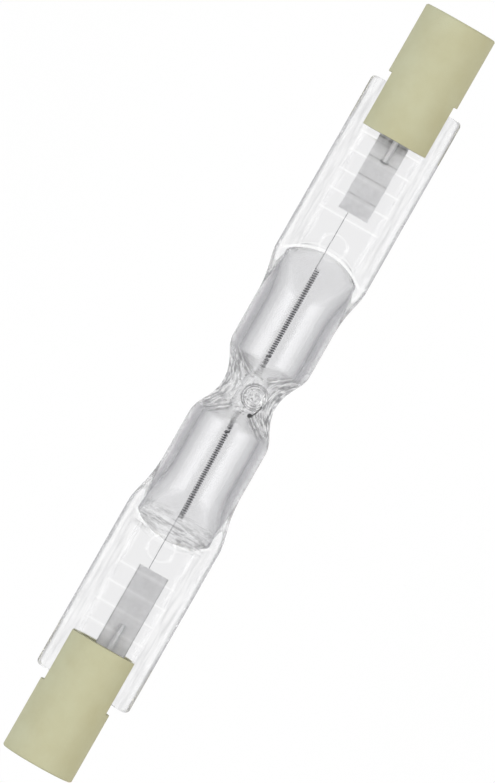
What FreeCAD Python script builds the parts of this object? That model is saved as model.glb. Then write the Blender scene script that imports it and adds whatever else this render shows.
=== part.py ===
"""Linear halogen bulb, double-ended, in millimetres.

The bulb lies along X. The flat faces of its press seals look along +Z and -Z, and the
exhaust tip stands on the +Z side. The origin is the middle of the bulb's axis.
"""
import FreeCAD
import Part
import Sketcher
import math
import os

# Driving dimensions. Right is the +X end and left the -X end. A shift is across the axis,
# counted along +Y.
SIZES = {
    # Whole bulb
    "overall_length": 78.3,
    # Ceramic cap: the slot takes the press seal, the recess holds the contact
    "cap_diameter": 7.2,
    "cap_length": 12.45,
    "cap_shift_right": 0.0,
    "cap_shift_left": 0.15,
    "slot_depth": 5.35,
    "slot_height": 3.0,
    "recess_diameter": 3.9,
    "rim_chamfer": 0.12,
    # Contact: a button let into the recess's floor, on a shank that holds the outer lead
    "contact_depth": 1.7,
    "contact_sink": 0.1,
    "contact_seat_diameter": 3.0,
    "contact_thickness": 0.8,
    "contact_clearance": 0.05,
    "shank_diameter": 1.6,
    "shank_length": 2.5,
    "shank_clearance": 0.05,
    "lead_grip": 1.8,
    # Cement between the cap and the press seal
    "cement_width": 5.8,
    "cement_setback": 0.35,
    # Quartz tube: two lobes and the waist between them
    "lobe_diameter": 8.08,
    "wall": 1.0,
    "waist_diameter": 5.24,
    "waist_arc": 1.6,
    "waist_slope": 27.0,
    "shoulder_arc": 3.0,
    "throat_diameter": 2.4,
    "throat_length": 2.3,
    "throat_slope": 48.0,
    "cavity_shoulder": 0.55,
    "cavity_shoulder_slope": 22.0,
    # Exhaust tip on the waist
    "tip_height": 4.0,
    "tip_diameter": 2.5,
    "tip_shift": -0.58,
    "tip_wall": 0.7,
    "tip_root": 0.75,
    "tip_dome": 0.55,
    "tip_dome_inset": 0.165,
    # Pinch, where the round tube turns into the flat seal
    "pinch_length": 6.05,
    "pinch_close": 1.45,
    "pinch_wall": 1.1,
    "pinch_bite": 0.15,
    "pinch_turn": 160.0,
    "ring_inset": 0.03,
    "cavity_close": 1.85,
    "imprint_reach": 1.7,
    # Press seal: a thin web with beads along its edges and ribs across it
    "seal_length_right": 16.25,
    "seal_length_left": 15.6,
    "seal_width_right": 9.4,
    "seal_width_left": 9.7,
    "seal_end_gap": 0.95,
    "seal_corner": 0.45,
    "bead_thickness": 2.6,
    "web_thickness": 1.9,
    "web_width": 5.3,
    "web_slope": 0.45,
    "rib_width": 0.3,
    "rib_crest": 0.1,
    "rib_height": 0.16,
    "rib_pitch": 1.96,
    "rib_setback_right": 3.05,
    "rib_setback_left": 2.15,
    # Sealing foil with thin edges
    "foil_width": 3.0,
    "foil_thickness": 0.04,
    "foil_edge": 0.4,
    "foil_setback": 3.4,
    "foil_length_right": 8.78,
    "foil_length_left": 9.2,
    "foil_shift_right": -0.1,
    "foil_shift_left": -0.5,
    # Outer lead from the foil to the contact
    "lead_diameter": 0.55,
    "lead_flat": 0.05,
    "lead_lap_right": 3.15,
    "lead_lap_left": 3.55,
    "lead_shift_right": -0.25,
    "lead_shift_left": -0.45,
    # Filament: one coiled wire with a plain leg at each end. Each coil starts and stops at a
    # share of the way from the waist to the end of the cavity
    "wire_diameter": 0.12,
    "wire_clearance": 0.005,
    "coil_diameter": 0.51,
    "coil_pitch": 0.227,
    "coil_start_right": 0.162,
    "coil_start_left": 0.155,
    "coil_stop_right": 0.862,
    "coil_stop_left": 0.826,
    "coil_start_shift_right": 0.19,
    "coil_start_shift_left": 0.09,
    "coil_stop_shift_right": 0.19,
    "coil_stop_shift_left": -0.12,
    "leg_bend": 0.45,
    "leg_shift_right": 0.42,
    "leg_shift_left": 0.03,
    "leg_lap": 0.8,
}
# How many there are, and the angles of the rings that close a pinch
RIBS = 6
PINCH_STEPS = 3
CLOSING_ANGLES = (25, 50, 75)
TURN_SIDES = 5
WIRE_SIDES = 3
RING_SIDES = 20
ENDS = (("right", 1), ("left", -1))

doc = FreeCAD.newDocument("LinearHalogenBulb")
sheet = doc.addObject("Spreadsheet::Sheet", "Sizes")
for row, (alias, number) in enumerate(SIZES.items(), start=1):
    sheet.set(f"A{row}", alias)
    sheet.set(f"B{row}", str(number))
    sheet.setAlias(f"B{row}", alias)
doc.recompute()

REFERENCES = {alias: f"Sizes.{alias}" for alias in SIZES}

# Places along the axis that several pieces share. _END stands for _right or _left.
HALF = "({overall_length} / 2)"
CAP_INNER = "(" + HALF + " - {cap_length})"
SLOT_FLOOR = "(" + CAP_INNER + " + {slot_depth})"
CONTACT_FACE = "(" + HALF + " - {contact_depth})"
RECESS_FLOOR = "(" + CONTACT_FACE + " + {contact_sink})"
CONTACT_BACK = "(" + CONTACT_FACE + " - {contact_thickness})"
SHANK_END = "(" + CONTACT_BACK + " - {shank_length})"
SEAL_END = "(" + SLOT_FLOOR + " - {seal_end_gap})"
CAVITY_END = "(" + SEAL_END + " - {seal_length_END})"
PINCH_START = "(" + CAVITY_END + " - {pinch_length})"
COIL_START = "(" + CAVITY_END + " * {coil_start_END})"
COIL_STOP = "(" + CAVITY_END + " * {coil_stop_END})"
LEG_BEND = "(" + COIL_STOP + " + {leg_bend})"
FOIL_OUTER = "(" + SEAL_END + " - {foil_setback})"
FOIL_INNER = "(" + FOIL_OUTER + " - {foil_length_END})"
LEG_OUTER = "(" + FOIL_INNER + " + {leg_lap})"
LEAD_INNER = "(" + FOIL_OUTER + " - {lead_lap_END})"
# Distances from the axis
LOBE_RADIUS = "({lobe_diameter} / 2)"
CAVITY_RADIUS = "(" + LOBE_RADIUS + " - {wall})"
LEG_LEVEL = "(-({foil_thickness} + {wire_diameter}) / 2)"


def expression(words, end="right"):
    """Write a rule with size names in braces as an expression on the sheet."""
    return words.replace("_END", "_" + end).format(**REFERENCES)


def value(words, end="right"):
    """Work out a rule with the numbers that the sheet holds now."""
    result = sheet.evalExpression(expression(words, end))
    return float(getattr(result, "Value", result))


def bind(thing, name, words, end="right"):
    """Tie one property to a rule on the sheet."""
    thing.setExpression(name, expression(words, end))


def new_body(label):
    """Make a body whose file takes the label."""
    body = doc.addObject("PartDesign::Body", label)
    body.Label = label
    return body


def new_sketch(body, name, plane, offset=None, end="right"):
    """Put a sketch on one of the body's own planes, moved along its normal."""
    sketch = body.newObject("Sketcher::SketchObject", name)
    base = [item for item in body.Origin.OriginFeatures if item.Role == plane][0]
    sketch.AttachmentSupport = [(base, "")]
    sketch.MapMode = "FlatFace"
    if offset:
        bind(sketch, "AttachmentOffset.Base.z", offset, end)
    return sketch


def fix(sketch, piece, spot, across, up, end):
    """Hold one point of a sketch at its place across and up."""
    for axis, words in (("DistanceX", across), ("DistanceY", up)):
        number = value(words, end)
        if words == "0":
            axis_line = -2 if axis == "DistanceX" else -1
            sketch.addConstraint(Sketcher.Constraint("PointOnObject", piece, spot, axis_line))
            continue
        index = sketch.addConstraint(Sketcher.Constraint(axis, -1, 1, piece, spot, number))
        bind(sketch, f"Constraints[{index}]", words, end)


def draw(sketch, corners, end="right"):
    """Draw a closed outline through corners (across, up).

    A corner may go on with (centre across, centre up, turn) for an arc to the next corner,
    with turn 1 against the clock and -1 with it.
    """
    points = [FreeCAD.Vector(value(c[0], end), value(c[1], end), 0) for c in corners]
    first_edge = sketch.GeometryCount
    for index, corner in enumerate(corners):
        start = points[index]
        stop = points[(index + 1) % len(points)]
        if len(corner) == 2:
            sketch.addGeometry(Part.LineSegment(start, stop), False)
            continue
        centre = FreeCAD.Vector(value(corner[2], end), value(corner[3], end), 0)
        first, last = (start, stop) if corner[4] > 0 else (stop, start)
        circle = Part.Circle(centre, FreeCAD.Vector(0, 0, 1), (start - centre).Length)
        angles = [math.atan2(p.y - centre.y, p.x - centre.x) for p in (first, last)]
        sketch.addGeometry(Part.ArcOfCircle(circle, angles[0], angles[1]), False)
    for index, corner in enumerate(corners):
        following = (index + 1) % len(corners)
        leaving = 2 if len(corner) == 2 or corner[4] > 0 else 1
        arriving = 1 if len(corners[following]) == 2 or corners[following][4] > 0 else 2
        edge = first_edge + index
        after = first_edge + following
        sketch.addConstraint(Sketcher.Constraint("Coincident", edge, leaving, after, arriving))
        fix(sketch, after, arriving, corners[following][0], corners[following][1], end)
        if len(corner) > 2:
            chord = points[following] - points[index]
            if abs(chord.y) > abs(chord.x):
                kind, words = "DistanceX", corner[2]
            else:
                kind, words = "DistanceY", corner[3]
            number = value(words, end)
            place = sketch.addConstraint(Sketcher.Constraint(kind, -1, 1, edge, 3, number))
            bind(sketch, f"Constraints[{place}]", words, end)


def revolve(body, sketch, name, axis="H_Axis"):
    """Turn a sketch right round one of its own axes."""
    turned = body.newObject("PartDesign::Revolution", name)
    turned.Profile = sketch
    turned.ReferenceAxis = (sketch, [axis])
    turned.Angle = 360
    return turned


def pad(body, sketch, name, length, end="right", middle=False):
    """Push a sketch out along its normal, one way or evenly both ways."""
    block = body.newObject("PartDesign::Pad", name)
    block.Profile = sketch
    block.SideType = "Symmetric" if middle else "One side"
    bind(block, "Length", length, end)
    return block


def turn_to(thing, side, shift="0", end="right"):
    """Place a piece that is modelled towards +X on its own end of the bulb."""
    turn = 0 if side > 0 else 180
    thing.Placement = FreeCAD.Placement(
        FreeCAD.Vector(0, value(shift, end), 0),
        FreeCAD.Rotation(FreeCAD.Vector(0, 0, 1), turn),
    )
    bind(thing, "Placement.Base.y", shift, end)


def join(name, shapes):
    """Join several solids into one."""
    whole = doc.addObject("Part::MultiFuse", name)
    whole.Shapes = shapes
    return whole


def cut(name, base, tool):
    """Take one solid out of another."""
    rest = doc.addObject("Part::Cut", name)
    rest.Base = base
    rest.Tool = tool
    return rest


def ceramic_cap(end, side):
    """A turned ceramic cylinder with a slot at one end and a stepped bore at the other."""
    body = new_body("ceramic_cap_" + end)
    outer = "({cap_diameter} / 2)"
    bore = "({shank_diameter} / 2 + {shank_clearance})"
    seat = "({contact_seat_diameter} / 2)"
    recess = "({recess_diameter} / 2)"
    section = new_sketch(body, "CapSection_" + end, "XY_Plane")
    draw(section, [
        (CAP_INNER, bore),
        (CONTACT_BACK, bore),
        (CONTACT_BACK, seat),
        (RECESS_FLOOR, seat),
        (RECESS_FLOOR, recess),
        (HALF, recess),
        (HALF, outer + " - {rim_chamfer}"),
        (HALF + " - {rim_chamfer}", outer),
        (CAP_INNER, outer),
    ])
    turned = revolve(body, section, "CapTurned_" + end)
    doc.recompute()
    solid_volume = turned.Shape.Volume
    side_view = new_sketch(body, "CapSlotView_" + end, "XZ_Plane")
    draw(side_view, [
        (CAP_INNER + " - {slot_height}", "-{slot_height} / 2"),
        (SLOT_FLOOR, "-{slot_height} / 2"),
        (SLOT_FLOOR, "{slot_height} / 2"),
        (CAP_INNER + " - {slot_height}", "{slot_height} / 2"),
    ])
    slot = body.newObject("PartDesign::Pocket", "CapSlot_" + end)
    slot.Profile = side_view
    slot.SideType = "Symmetric"
    bind(slot, "Length", "{cap_diameter} * 2")
    doc.recompute()
    assert slot.Shape.Volume < solid_volume, "the slot cuts nothing"
    turn_to(body, side, "{cap_shift_END}", end)
    return body


def contact(end, side):
    """A turned button at the recess's floor, with a drilled shank for the outer lead."""
    body = new_body("contact_" + end)
    button = "({contact_seat_diameter} / 2 - {contact_clearance})"
    section = new_sketch(body, "ContactSection_" + end, "XY_Plane")
    draw(section, [
        (SHANK_END, "{lead_diameter} / 2"),
        (SHANK_END + " + {lead_grip}", "{lead_diameter} / 2"),
        (SHANK_END + " + {lead_grip}", "0"),
        (CONTACT_FACE, "0"),
        (CONTACT_FACE, button),
        (CONTACT_BACK, button),
        (CONTACT_BACK, "{shank_diameter} / 2"),
        (SHANK_END, "{shank_diameter} / 2"),
    ])
    revolve(body, section, "ContactTurned_" + end)
    turn_to(body, side, "{cap_shift_END}", end)
    return body


def foil(end, side):
    """A thin strip whose two long edges are thinned to nothing."""
    body = new_body("foil_" + end)
    section = new_sketch(body, "FoilSection_" + end, "YZ_Plane", FOIL_INNER, end)
    flat = "({foil_width} / 2 - {foil_edge})"
    draw(section, [
        ("-{foil_width} / 2", "0"),
        ("-" + flat, "-{foil_thickness} / 2"),
        (flat, "-{foil_thickness} / 2"),
        ("{foil_width} / 2", "0"),
        (flat, "{foil_thickness} / 2"),
        ("-" + flat, "{foil_thickness} / 2"),
    ])
    pad(body, section, "FoilStrip_" + end, "{foil_length_END}", end)
    turn_to(body, side, "{foil_shift_END}", end)
    return body


def outer_lead(end, side):
    """A round wire that lies on the foil and bends to the middle of the contact."""
    level = value("{foil_thickness} / 2 + {lead_diameter} / 2 - {lead_flat}")
    shift = value("{lead_shift_END}", end)
    grip = value(SHANK_END + " + {lead_grip}")
    route = doc.addObject("Part::Polygon", "LeadRoute_" + end)
    route.Nodes = [
        FreeCAD.Vector(side * value(LEAD_INNER, end), shift, level),
        FreeCAD.Vector(side * value(SEAL_END + " + {lead_diameter}"), shift, level),
        FreeCAD.Vector(side * value(SHANK_END), value("{cap_shift_END}", end), 0),
        FreeCAD.Vector(side * grip, value("{cap_shift_END}", end), 0),
    ]
    ring = doc.addObject("Part::Circle", "LeadRing_" + end)
    bind(ring, "Radius", "{lead_diameter} / 2")
    turn = FreeCAD.Rotation(FreeCAD.Vector(0, 1, 0), 90 * side)
    ring.Placement = FreeCAD.Placement(route.Nodes[0], turn)
    wire = doc.addObject("Part::Sweep", "LeadWire_" + end)
    wire.Sections = [ring]
    doc.recompute()
    wire.Spine = (route, ["Edge1", "Edge2", "Edge3"])
    wire.Solid = True
    wire.Transition = "Right corner"
    under = doc.addObject("Part::Box", "LeadUnderside_" + end)
    bind(under, "Length", FOIL_OUTER + " + {foil_setback} / 2", end)
    bind(under, "Width", "{foil_width} * 2")
    bind(under, "Height", "{lead_diameter}")
    corner_x = "0" if side > 0 else "-(" + FOIL_OUTER + " + {foil_setback} / 2)"
    bind(under, "Placement.Base.x", corner_x, end)
    bind(under, "Placement.Base.y", "-{foil_width}")
    bind(under, "Placement.Base.z", "{foil_thickness} / 2 - {lead_diameter}")
    lead = cut("outer_lead_" + end, wire, under)
    lead.Label = "outer_lead_" + end
    return lead


def leg_corners(end, side):
    """Corners of one leg of the filament, from the foil it lies under to its coil."""
    across = value("{leg_shift_END}", end)
    level = value(LEG_LEVEL)
    return [
        FreeCAD.Vector(side * value(LEG_OUTER, end), across, level),
        FreeCAD.Vector(side * value(FOIL_INNER, end), across, level),
        FreeCAD.Vector(side * value(LEG_BEND, end), across, 0),
    ]


def filament_nodes():
    """Corners of the filament's wire from the left foil to the right foil.

    Each leg runs straight to its coil. A coil goes round its own axis at an even pitch, in
    short straight chords, and the axis may lean. The wire passes straight through the waist
    between the coils.
    """
    mean_radius = value("({coil_diameter} - {wire_diameter}) / 2")
    nodes = []
    for end, side in reversed(ENDS):
        start = value(COIL_START, end)
        stop = value(COIL_STOP, end)
        start_shift = value("{coil_start_shift_END}", end)
        stop_shift = value("{coil_stop_shift_END}", end)
        chords = round((stop - start) / value("{coil_pitch}")) * TURN_SIDES
        stretch = leg_corners(end, side)
        for step in range(chords + 1):
            share = step / chords
            angle = 2 * math.pi * step / TURN_SIDES
            axis = stop_shift + (start_shift - stop_shift) * share
            stretch.append(FreeCAD.Vector(
                side * (stop + (start - stop) * share),
                axis - side * mean_radius * math.cos(angle),
                mean_radius * math.sin(angle),
            ))
        if side < 0:
            nodes.extend(stretch)
        else:
            nodes.extend(reversed(stretch))
    return nodes


def filament():
    """One coiled wire, swept along short straight chords."""
    route = doc.addObject("Part::Polygon", "FilamentRoute")
    route.Nodes = filament_nodes()
    section = doc.addObject("Part::RegularPolygon", "FilamentSection")
    section.Polygon = WIRE_SIDES
    bind(section, "Circumradius", "{wire_diameter} / 2")
    turn = FreeCAD.Rotation(FreeCAD.Vector(0, 1, 0), 90)
    section.Placement = FreeCAD.Placement(route.Nodes[0], turn)
    wire = doc.addObject("Part::Sweep", "filament")
    wire.Label = "filament"
    wire.Sections = [section]
    doc.recompute()
    wire.Spine = (route, [f"Edge{index + 1}" for index in range(len(route.Nodes) - 1)])
    wire.Solid = True
    wire.Transition = "Right corner"
    return wire


def quartz_tube():
    """The lobes and the waist, turned: arc, slope and arc from the waist up to each lobe."""
    body = new_body("TubeOuter")
    section = new_sketch(body, "TubeSection", "XY_Plane")
    waist = "({waist_diameter} / 2)"
    x_arc = "({waist_arc} * sin({waist_slope}))"
    y_arc = "(" + waist + " + {waist_arc} * (1 - cos({waist_slope})))"
    y_slope = "(" + LOBE_RADIUS + " - {shoulder_arc} * (1 - cos({waist_slope})))"
    x_slope = "(" + x_arc + " + (" + y_slope + " - " + y_arc + ") / tan({waist_slope}))"
    x_full = "(" + x_slope + " + {shoulder_arc} * sin({waist_slope}))"
    drop = "(" + LOBE_RADIUS + " - {shoulder_arc})"
    left_start = PINCH_START.replace("END", "left")
    right_start = PINCH_START.replace("END", "right")
    draw(section, [
        ("-" + left_start, "0"),
        (right_start, "0"),
        (right_start, LOBE_RADIUS),
        (x_full, LOBE_RADIUS, x_full, drop, 1),
        (x_slope, y_slope),
        (x_arc, y_arc, "0", "(" + waist + " + {waist_arc})", -1),
        ("-" + x_arc, y_arc),
        ("-" + x_slope, y_slope, "-" + x_full, drop, 1),
        ("-" + x_full, LOBE_RADIUS),
        ("-" + left_start, LOBE_RADIUS),
    ])
    revolve(body, section, "TubeTurned")
    return body


def tube_cavity():
    """The inside of the lobes and the narrow throat that joins them, turned.

    From the throat a steep slope and then a gentle one lead up to each lobe.
    """
    body = new_body("TubeInner")
    section = new_sketch(body, "CavitySection", "XY_Plane")
    throat = "({throat_diameter} / 2)"
    half = "({throat_length} / 2)"
    y_slope = "(" + CAVITY_RADIUS + " - {cavity_shoulder})"
    x_slope = "(" + half + " + (" + y_slope + " - " + throat + ") / tan({throat_slope}))"
    x_full = "(" + x_slope + " + {cavity_shoulder} / tan({cavity_shoulder_slope}))"
    left_start = PINCH_START.replace("END", "left")
    right_start = PINCH_START.replace("END", "right")
    draw(section, [
        ("-" + left_start, "0"),
        (right_start, "0"),
        (right_start, CAVITY_RADIUS),
        (x_full, CAVITY_RADIUS),
        (x_slope, y_slope),
        (half, throat),
        ("-" + half, throat),
        ("-" + x_slope, y_slope),
        ("-" + x_full, CAVITY_RADIUS),
        ("-" + left_start, CAVITY_RADIUS),
    ])
    revolve(body, section, "CavityTurned")
    return body


def pinch(name, end, side, radius, width, height, start_close, stop):
    """Loft of many-sided ellipses from the round tube to the flat end of a pinch.

    The half-width first grows from the tube's radius along half a cosine wave, then closes
    like a quarter of an ellipse. The half-height is a rule on the place along the axis.
    """
    widen = "(" + start_close + " - " + PINCH_START + ")"
    close = "(" + stop + " - " + start_close + ")"
    stations = []
    for step in range(PINCH_STEPS + 1):
        share = step / PINCH_STEPS
        place = f"({PINCH_START} + {widen} * {share})"
        wide = f"({radius} + ({width} - {radius}) * (1 - cos(180 * {share})) / 2)"
        stations.append((place, wide))
    for angle in CLOSING_ANGLES:
        stations.append((f"({start_close} + {close} * sin({angle}))", f"({width} * cos({angle}))"))
    rings = []
    for number, (place, wide) in enumerate(stations):
        tall = height.replace("PLACE", place)
        across = value(wide, end) - value("{ring_inset}")
        up = value(tall, end) - value("{ring_inset}")
        ring = doc.addObject("Part::Polygon", f"{name}_{end}_{number}")
        ring.Close = True
        ring.Nodes = [
            FreeCAD.Vector(
                side * value(place, end),
                across * math.cos(2 * math.pi * corner / RING_SIDES),
                up * math.sin(2 * math.pi * corner / RING_SIDES),
            )
            for corner in range(RING_SIDES)
        ]
        rings.append(ring)
    loft = doc.addObject("Part::Loft", f"{name}_{end}")
    loft.Sections = rings
    loft.Solid = True
    loft.Ruled = True
    return loft


def pinch_height(inset):
    """Half-height of the pinch at PLACE: most of a cosine wave down to the web."""
    low = "({web_thickness} / 2 - {pinch_bite})"
    reach = "(" + CAVITY_END + " + {imprint_reach} - " + PINCH_START + ")"
    turn = "({pinch_turn} * (PLACE - " + PINCH_START + ") / " + reach + ")"
    fall = "(1 + cos" + turn + ") / 2"
    return f"({low} + ({LOBE_RADIUS} - {low}) * {fall} - {inset})"


def press_seal(end, side):
    """Flat seal with beads along both edges and narrow ribs across its web."""
    body = new_body("Seal_" + end)
    bead = "({bead_thickness} / 2)"
    web = "({web_thickness} / 2)"
    near = "({web_width} / 2)"
    far = "({web_width} / 2 + {web_slope})"
    tip = "({seal_width_END} / 2)"
    full = "(" + CAVITY_END + " - {pinch_close})"
    stations = [
        ("(" + PINCH_START + " + " + full + ") / 2", LOBE_RADIUS),
        (full, tip),
    ]
    sections = []
    for number, (place, half) in enumerate(stations):
        centre = "(" + half + " - " + bead + ")"
        section = new_sketch(body, f"SealSection_{end}_{number}", "YZ_Plane", place, end)
        draw(section, [
            ("-" + near, "-" + web),
            (near, "-" + web),
            (far, "-" + bead),
            (centre, "-" + bead, centre, "0", 1),
            (centre, bead),
            (far, bead),
            (near, web),
            ("-" + near, web),
            ("-" + far, bead),
            ("-" + centre, bead, "-" + centre, "0", 1),
            ("-" + centre, "-" + bead),
            ("-" + far, "-" + bead),
        ], end)
        sections.append(section)
    root = body.newObject("PartDesign::AdditiveLoft", "SealRoot_" + end)
    root.Profile = sections[0]
    root.Sections = sections[1:]
    root.Ruled = True
    doc.recompute()
    slab = pad(body, sections[1], "SealSlab_" + end, SEAL_END + " - " + full, end)
    doc.recompute()
    slab_volume = slab.Shape.Volume
    corners = new_sketch(body, "SealCorners_" + end, "XY_Plane")
    for sign, turn in (("", 1), ("-", -1)):
        draw(corners, [
            (SEAL_END, sign + "(" + tip + " - {seal_corner})",
             SEAL_END + " - {seal_corner}", sign + "(" + tip + " - {seal_corner})", turn),
            (SEAL_END + " - {seal_corner}", sign + tip),
            (SEAL_END + " - {seal_corner}", sign + "(" + tip + " + {seal_corner})"),
            (SEAL_END + " + {seal_corner}", sign + "(" + tip + " + {seal_corner})"),
            (SEAL_END + " + {seal_corner}", sign + "(" + tip + " - {seal_corner})"),
        ], end)
    rounding = body.newObject("PartDesign::Pocket", "SealRounding_" + end)
    rounding.Profile = corners
    rounding.SideType = "Symmetric"
    bind(rounding, "Length", "{bead_thickness} * 2")
    doc.recompute()
    assert rounding.Shape.Volume < slab_volume, "the corners stay sharp"
    middle = "(" + SEAL_END + " - {rib_setback_END})"
    foot = "({rib_width} / 2)"
    crest = "({rib_crest} / 2)"
    low = "(" + web + " - {rib_height})"
    high = "(" + web + " + {rib_height})"
    rib_view = new_sketch(body, "RibView_" + end, "XZ_Plane")
    draw(rib_view, [
        (middle + " - " + foot, "-" + low),
        (middle + " - " + crest, "-" + high),
        (middle + " + " + crest, "-" + high),
        (middle + " + " + foot, "-" + low),
        (middle + " + " + foot, low),
        (middle + " + " + crest, high),
        (middle + " - " + crest, high),
        (middle + " - " + foot, low),
    ], end)
    rib = pad(body, rib_view, "Rib_" + end, "{web_width} + {web_slope}", end, middle=True)
    doc.recompute()
    row = body.newObject("PartDesign::LinearPattern", "Ribs_" + end)
    row.Originals = [rib]
    row.Direction = (rib_view, ["H_Axis"])
    row.Reversed = True
    row.Occurrences = RIBS
    bind(row, "Length", f"{{rib_pitch}} * {RIBS - 1}")
    body.Tip = row
    turn_to(body, side)
    return body


def exhaust_tip():
    """The sealed stub of the exhaust tube and the blind bore inside it, as two solids."""
    stub = new_body("TipOuter")
    radius = "({tip_diameter} / 2)"
    section = new_sketch(stub, "TipSection", "XZ_Plane")
    draw(section, [
        ("0", "{throat_diameter} / 2"),
        (radius + " + {tip_root}", "{throat_diameter} / 2"),
        (radius, "{waist_diameter} / 2"),
        (radius, "{tip_height} - {tip_dome}"),
        (radius + " - {tip_dome_inset}", "{tip_height} - {tip_dome_inset}"),
        (radius + " - {tip_dome}", "{tip_height}"),
        ("0", "{tip_height}"),
    ])
    revolve(stub, section, "TipTurned", "V_Axis")
    bore = new_body("TipInner")
    hole = "(" + radius + " - {tip_wall})"
    top = "({tip_height} - {tip_wall})"
    view = new_sketch(bore, "TipBoreSection", "XZ_Plane")
    draw(view, [
        ("0", "0"),
        (hole, "0"),
        (hole, top + " - " + hole),
        ("0", top),
    ])
    revolve(bore, view, "TipBore", "V_Axis")
    for body in (stub, bore):
        body.Placement.Base.y = value("{tip_shift}")
        bind(body, "Placement.Base.y", "{tip_shift}")
    return stub, bore


def leg_holes(end, side):
    """The hole that the seal leaves round a leg of the filament, as two rods."""
    corners = leg_corners(end, side)[::-1]
    rods = []
    for number, (start, stop) in enumerate(zip(corners, corners[1:])):
        rod = doc.addObject("Part::Cylinder", f"LegHole_{end}_{number}")
        bind(rod, "Radius", "{wire_diameter} / 2 + {wire_clearance}")
        rod.Height = (stop - start).Length
        turn = FreeCAD.Rotation(FreeCAD.Vector(0, 0, 1), stop - start)
        rod.Placement = FreeCAD.Placement(start, turn)
        rods.append(rod)
    return rods


def quartz_envelope(inserts):
    """Outer form of tube, pinches, seals and tip, less its cavity and what is sealed in it."""
    stub, bore = exhaust_tip()
    outside = [quartz_tube(), stub]
    inside = [tube_cavity(), bore]
    for end, side in ENDS:
        root = "({seal_width_END} / 2)"
        stop = "(" + CAVITY_END + " + {imprint_reach})"
        outside.append(pinch(
            "PinchOuter", end, side, LOBE_RADIUS, root, pinch_height("0"),
            "(" + CAVITY_END + " - {pinch_close})", stop,
        ))
        inside.append(pinch(
            "PinchInner", end, side, CAVITY_RADIUS, "(" + root + " - {pinch_wall})",
            pinch_height("{wall}"), "(" + CAVITY_END + " - {cavity_close})", CAVITY_END,
        ))
        outside.append(press_seal(end, side))
        inserts = inserts + leg_holes(end, side)
    hollow = cut("Hollow", join("Outside", outside), join("Inside", inside))
    envelope = cut("quartz_envelope", hollow, join("Inserts", inserts))
    envelope.Label = "quartz_envelope"
    return envelope


def cement(end, side, envelope, held):
    """The filling between the cap's slot and the web of the press seal."""
    block = doc.addObject("Part::Box", "CementBlock_" + end)
    length = "({slot_depth} - {cement_setback})"
    bind(block, "Length", length)
    bind(block, "Width", "{cement_width}")
    bind(block, "Height", "{slot_height}")
    corner_x = SLOT_FLOOR + " - " + length if side > 0 else "-" + SLOT_FLOOR
    bind(block, "Placement.Base.x", corner_x)
    bind(block, "Placement.Base.y", "{cap_shift_END} - {cement_width} / 2", end)
    bind(block, "Placement.Base.z", "-{slot_height} / 2")
    filling = cut("cement_" + end, block, join("CementTools_" + end, [envelope] + held))
    filling.Label = "cement_" + end
    return filling


def export(nodes):
    """Check every object and every piece, then write one file for each piece."""
    for item in doc.Objects:
        if "Invalid" in item.State or "Error" in item.State:
            raise RuntimeError(f"{item.Label} failed: {item.State}")
    for node in nodes:
        if node.Shape.isNull() or not node.Shape.isValid():
            raise RuntimeError(f"{node.Label} has no valid shape")
    os.makedirs("parts", exist_ok=True)
    for node in nodes:
        node.Shape.exportStep(f"parts/{node.Label}.step")
        print(node.Label, len(node.Shape.Solids), round(node.Shape.Volume, 3))


foils = [foil(end, side) for end, side in ENDS]
leads = [outer_lead(end, side) for end, side in ENDS]
envelope = quartz_envelope(foils + leads)
nodes = [envelope, filament()] + foils + leads
for (end, side), strip, lead in zip(ENDS, foils, leads):
    nodes.append(ceramic_cap(end, side))
    nodes.append(contact(end, side))
    nodes.append(cement(end, side, envelope, [strip, lead]))
doc.recompute()
export(nodes)
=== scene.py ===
"""Looks of the linear halogen bulb, laid out as an add-on and run as a script.

The bulb lies along X, its seals are flat across Z and the exhaust tip stands towards +Z.
Lengths in the property groups are in metres. The shape functions work in millimetres.
"""
import math

import bmesh
import bpy
import numpy as np
from mathutils import Matrix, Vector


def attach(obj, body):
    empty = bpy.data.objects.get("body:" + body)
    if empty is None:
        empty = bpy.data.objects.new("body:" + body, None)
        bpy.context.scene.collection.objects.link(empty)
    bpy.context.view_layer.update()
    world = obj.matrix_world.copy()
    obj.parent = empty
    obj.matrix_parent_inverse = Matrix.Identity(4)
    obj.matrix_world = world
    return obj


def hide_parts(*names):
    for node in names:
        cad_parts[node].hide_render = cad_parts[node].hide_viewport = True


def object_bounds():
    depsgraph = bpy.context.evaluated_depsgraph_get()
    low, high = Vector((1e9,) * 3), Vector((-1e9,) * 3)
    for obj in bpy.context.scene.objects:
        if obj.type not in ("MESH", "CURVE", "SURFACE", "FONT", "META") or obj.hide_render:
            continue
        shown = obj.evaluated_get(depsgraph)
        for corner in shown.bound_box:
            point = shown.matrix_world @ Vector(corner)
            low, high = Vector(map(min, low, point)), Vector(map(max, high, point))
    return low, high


bl_info = {
    "name": "Linear Halogen Bulb",
    "version": (1, 0, 0),
    "blender": (4, 5, 0),
    "location": "3D View > Sidebar > Bulb",
    "description": "Builds the glass, filament, foils, caps and stage of a linear halogen bulb",
    "category": "Add Mesh",
}

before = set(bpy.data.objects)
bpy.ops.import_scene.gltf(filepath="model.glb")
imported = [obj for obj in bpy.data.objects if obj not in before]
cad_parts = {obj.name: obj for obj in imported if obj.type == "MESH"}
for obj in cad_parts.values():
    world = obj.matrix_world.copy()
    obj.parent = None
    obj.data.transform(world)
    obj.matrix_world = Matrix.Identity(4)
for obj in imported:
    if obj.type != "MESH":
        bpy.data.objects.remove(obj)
CAD_BOX = [list(corner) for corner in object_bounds()]
BODY = "root"
MM = 0.001
TINY = 1e-6
ENDS = ("right", "left")
WHITE = (1.0, 1.0, 1.0, 1.0)
# Distances in millimetres from the middle to the start and the end of each coil
COIL_START = 2.4
COIL_END = 12.8


# Properties

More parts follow.
